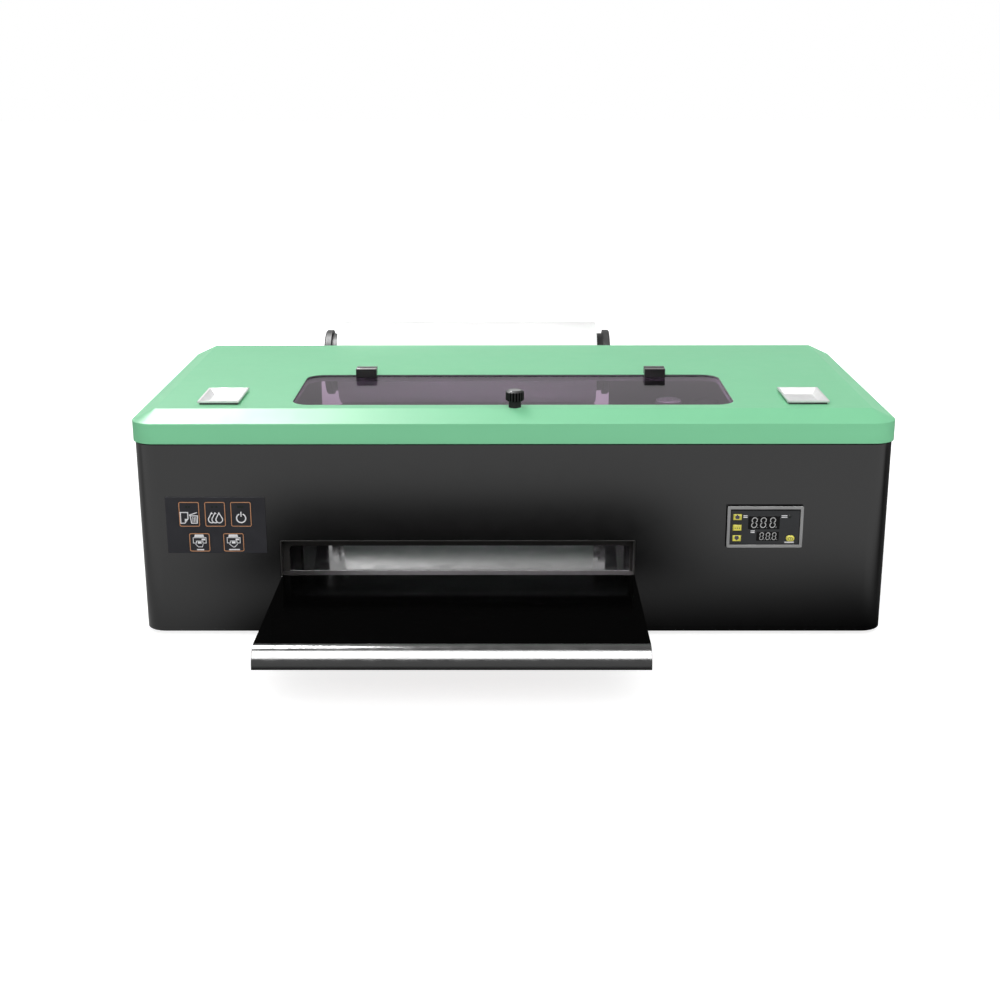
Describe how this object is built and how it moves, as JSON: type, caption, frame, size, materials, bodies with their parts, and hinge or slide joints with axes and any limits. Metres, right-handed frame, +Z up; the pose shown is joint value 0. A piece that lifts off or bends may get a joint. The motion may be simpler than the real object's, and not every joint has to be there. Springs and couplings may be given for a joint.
{
  "type": "roll-fed film printer",
  "caption": "Desktop roll-fed film printer with a hinged green hood, tinted window lid, heated front tray, key panel, temperature controller and a film roll on a rear spindle.",
  "frame": {"origin": "middle of the object's bounding box on the floor it stands on", "axes": "+X to the right and +Y to the back as seen from the front, where the film comes out; +Z up"},
  "size_m": [0.79, 0.6963, 0.2613],
  "materials": {
    "case_paint": "satin black powder coat",
    "base_zinc": "dull zinc",
    "back_paint": "satin black powder coat",
    "foot_rubber": "matt",
    "bezel_plastic": "fine-grained black",
    "tray_coat": "satin black coat",
    "nose_metal": "dark anodised, semi-gloss",
    "mat_silicone": "matt",
    "bracket_metal": "dull zinc",
    "platen_gloss": "high gloss dark",
    "frame_zinc": "zinc plated",
    "holder_zinc": "zinc plated",
    "rail_zinc": "zinc plated",
    "shaft_steel": "ground",
    "belt_rubber": "matt",
    "motor_metal": "black motor can",
    "cap_plastic": "matt",
    "waste_plastic": "translucent white",
    "tank_plastic": "matt",
    "white_plastic": "gloss white",
    "board_green": "solder-mask green",
    "supply_metal": "zinc plated",
    "socket_plastic": "matt black",
    "fan_plastic": "matt black",
    "hinge_steel": "zinc plated",
    "arm_paint": "satin black powder coat",
    "film_white": "matt white film",
    "overlay_plastic": "dark grey film overlay",
    "bezel_grey": "grey plastic",
    "face_plastic": "dark glossy face",
    "hood_paint": "satin mint green paint",
    "pull_plastic": "gloss white",
    "gasket_rubber": "matt",
    "hinge_black": "black",
    "lid_acrylic": "tinted clear acrylic",
    "catch_black": "matt black",
    "knob_black": "satin black, knurled",
    "spindle_steel": "ground",
    "flange_plastic": "matt dark grey",
    "roll_film": "matt white film",
    "feed_rubber": "matt",
    "pinch_rubber": "matt",
    "pulley_metal": "machined",
    "carriage_plastic": "matt black",
    "head_metal": "stainless",
    "rotor_plastic": "matt black",
    "rocker_plastic": "gloss red",
    "key_plastic": "dark grey",
    "soft_key": "yellow silicone"
  },
  "bodies": {
    "case": {"case_shell": "case_paint", "base_plate": "base_zinc", "back_panel": "back_paint", "feet": "foot_rubber", "slot_bezel": "bezel_plastic", "heater_tray": "tray_coat", "tray_nose": "nose_metal", "heater_mat": "mat_silicone", "tray_brackets": "bracket_metal", "platen": "platen_gloss", "side_frames": "frame_zinc", "pinch_holder": "holder_zinc", "carriage_rail": "rail_zinc", "guide_shaft": "shaft_steel", "drive_belts": "belt_rubber", "drive_motors": "motor_metal", "capping_station": "cap_plastic", "waste_tank": "waste_plastic", "ink_tanks": "tank_plastic", "white_ink_cap": "white_plastic", "circuit_boards": "board_green", "power_supply": "supply_metal", "rear_sockets": "socket_plastic", "fan_frame": "fan_plastic", "case_hinges": "hinge_steel", "roll_brackets": "arm_paint", "film_web": "film_white", "key_panel": "overlay_plastic", "thermostat_case": "bezel_grey", "thermostat_face": "face_plastic"},
    "hood": {"hood_shell": "hood_paint", "hood_hinges": "hinge_steel", "pull_cups": "pull_plastic", "pull_gaskets": "gasket_rubber", "lid_hinge_bases": "hinge_black"},
    "lid": {"window_lid": "lid_acrylic", "lid_hinge_clamps": "hinge_black", "lid_catch": "catch_black"},
    "latch": {"latch_knob": "knob_black"},
    "roll": {"film_roll": "roll_film", "spindle": "spindle_steel", "roll_flanges": "flange_plastic"},
    "feed": {"feed_roller": "feed_rubber"},
    "pinch": {"pinch_rollers": "pinch_rubber"},
    "feed_motor": {"feed_motor_pulley": "pulley_metal"},
    "carriage": {"carriage": "carriage_plastic", "print_head": "head_metal"},
    "drive": {"drive_pulley": "pulley_metal"},
    "idler": {"idler_pulley": "pulley_metal"},
    "fan": {"fan_rotor": "rotor_plastic"},
    "rocker": {"power_rocker": "rocker_plastic"},
    "eject_key": {"key_eject": "key_plastic"},
    "ink_key": {"key_ink": "key_plastic"},
    "power_key": {"key_power": "key_plastic"},
    "back_key": {"key_back": "key_plastic"},
    "enter_key": {"key_enter": "key_plastic"},
    "up_key": {"thermostat_up": "soft_key"},
    "set_key": {"thermostat_set": "soft_key"},
    "down_key": {"thermostat_down": "soft_key"},
    "restart_key": {"thermostat_restart": "soft_key"}
  },
  "joints": [
    {"name": "hood_hinge", "type": "hinge", "parent": "case", "child": "hood", "pos_m": [0, 0.2356, 0.23485], "axis": [-1, 0, 0], "range_deg": [0, 80]},
    {"name": "lid_hinge", "type": "hinge", "parent": "hood", "child": "lid", "pos_m": [0, 0.05295, 0.24675], "axis": [-1, 0, 0], "range_deg": [0, 100]},
    {"name": "latch_turn", "type": "hinge", "parent": "hood", "child": "latch", "pos_m": [0.0018, -0.11025, 0.24], "axis": [0, 0, 1], "range_deg": [0, 90]},
    {"name": "roll_spin", "type": "hinge", "parent": "case", "child": "roll", "pos_m": [-0.0575, 0.29485, 0.208], "axis": [1, 0, 0], "continuous": true},
    {"name": "feed_spin", "type": "hinge", "parent": "case", "child": "feed", "pos_m": [-0.0575, -0.00515, 0.06664], "axis": [1, 0, 0], "continuous": true},
    {"name": "pinch_spin", "type": "hinge", "parent": "case", "child": "pinch", "pos_m": [-0.0575, -0.00515, 0.08164], "axis": [1, 0, 0], "continuous": true},
    {"name": "feed_motor_spin", "type": "hinge", "parent": "case", "child": "feed_motor", "pos_m": [-0.2595, 0.04085, 0.05264], "axis": [1, 0, 0], "continuous": true},
    {"name": "carriage_slide", "type": "slide", "parent": "case", "child": "carriage", "axis": [1, 0, 0], "range_m": [-0.45, 0]},
    {"name": "drive_spin", "type": "hinge", "parent": "case", "child": "drive", "pos_m": [0.3, 0.01485, 0.183], "axis": [0, 1, 0], "continuous": true},
    {"name": "idler_spin", "type": "hinge", "parent": "case", "child": "idler", "pos_m": [-0.28, 0.01485, 0.183], "axis": [0, 1, 0], "continuous": true},
    {"name": "fan_spin", "type": "hinge", "parent": "case", "child": "fan", "pos_m": [-0.32, 0.21685, 0.143], "axis": [0, 1, 0], "continuous": true},
    {"name": "rocker_tilt", "type": "hinge", "parent": "case", "child": "rocker", "pos_m": [0.33, 0.22685, 0.07], "axis": [-1, 0, 0], "range_deg": [0, 16]},
    {"name": "eject_press", "type": "slide", "parent": "case", "child": "eject_key", "axis": [0, 1, 0], "range_m": [0, 0.0008], "stiffness_N_per_m": 500},
    {"name": "ink_press", "type": "slide", "parent": "case", "child": "ink_key", "axis": [0, 1, 0], "range_m": [0, 0.0008], "stiffness_N_per_m": 500},
    {"name": "power_press", "type": "slide", "parent": "case", "child": "power_key", "axis": [0, 1, 0], "range_m": [0, 0.0008], "stiffness_N_per_m": 500},
    {"name": "back_press", "type": "slide", "parent": "case", "child": "back_key", "axis": [0, 1, 0], "range_m": [0, 0.0008], "stiffness_N_per_m": 500},
    {"name": "enter_press", "type": "slide", "parent": "case", "child": "enter_key", "axis": [0, 1, 0], "range_m": [0, 0.0008], "stiffness_N_per_m": 500},
    {"name": "up_press", "type": "slide", "parent": "case", "child": "up_key", "axis": [0, 1, 0], "range_m": [0, 0.0005], "stiffness_N_per_m": 400},
    {"name": "set_press", "type": "slide", "parent": "case", "child": "set_key", "axis": [0, 1, 0], "range_m": [0, 0.0005], "stiffness_N_per_m": 400},
    {"name": "down_press", "type": "slide", "parent": "case", "child": "down_key", "axis": [0, 1, 0], "range_m": [0, 0.0005], "stiffness_N_per_m": 400},
    {"name": "restart_press", "type": "slide", "parent": "case", "child": "restart_key", "axis": [0, 1, 0], "range_m": [0, 0.0005], "stiffness_N_per_m": 400}
  ],
  "couplings": [
    {"joint": "feed_spin", "follows": "roll_spin", "ratio": -6.6625},
    {"joint": "pinch_spin", "follows": "roll_spin", "ratio": 8.8833},
    {"joint": "feed_motor_spin", "follows": "roll_spin", "ratio": -12.86},
    {"joint": "drive_spin", "follows": "carriage_slide", "rad_per_m": -116.28},
    {"joint": "idler_spin", "follows": "carriage_slide", "rad_per_m": -116.28}
  ]
}
